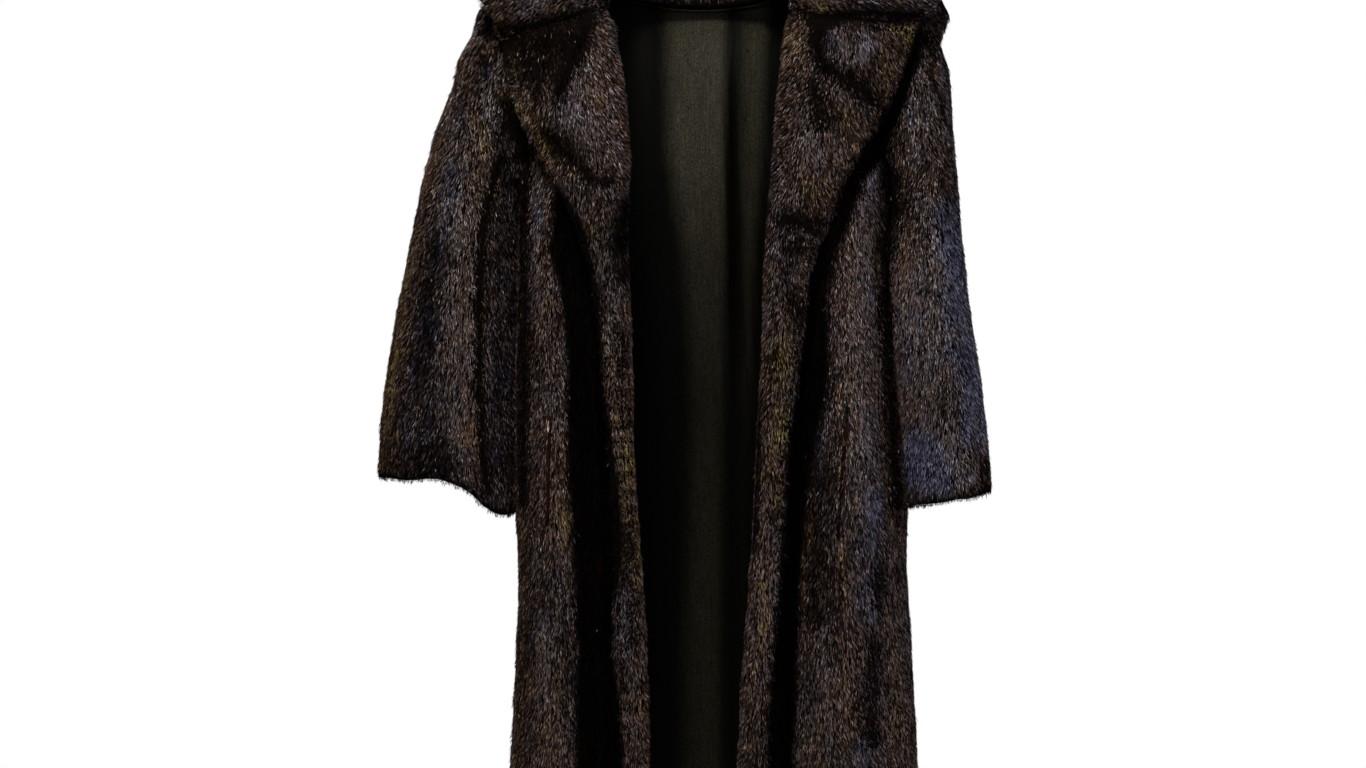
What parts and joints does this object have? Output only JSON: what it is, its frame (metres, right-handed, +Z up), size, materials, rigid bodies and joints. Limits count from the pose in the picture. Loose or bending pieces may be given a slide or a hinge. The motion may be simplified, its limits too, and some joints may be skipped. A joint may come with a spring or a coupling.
{
  "type": "fur coat",
  "caption": "Long dark fur coat, open down the front and filled out with no wearer, with broad notched lapels, a laid-back collar, wide sleeves, slit pockets and a satin lining.",
  "frame": {"origin": "between the shoulders, level with the seam at the back of the neck", "axes": "+Z up along the coat's length, -Y out of the coat's front, +X toward its right side as seen from the front"},
  "size_m": [0.71, 0.3235, 1.2275],
  "materials": {
    "fur": "dense glossy guard hairs, near-black brown",
    "lining": "satin, olive brown",
    "pocket": "fur welt of a slit pocket"
  },
  "bodies": {
    "root": {"back": "fur", "front_left": "fur", "front_right": "fur", "sleeve_left": "fur", "sleeve_right": "fur", "facing_left": "fur", "facing_right": "fur", "collar": "fur", "lining_back": "lining", "lining_left": "lining", "lining_right": "lining", "pocket_left": "pocket", "pocket_right": "pocket"}
  },
  "joints": []
}
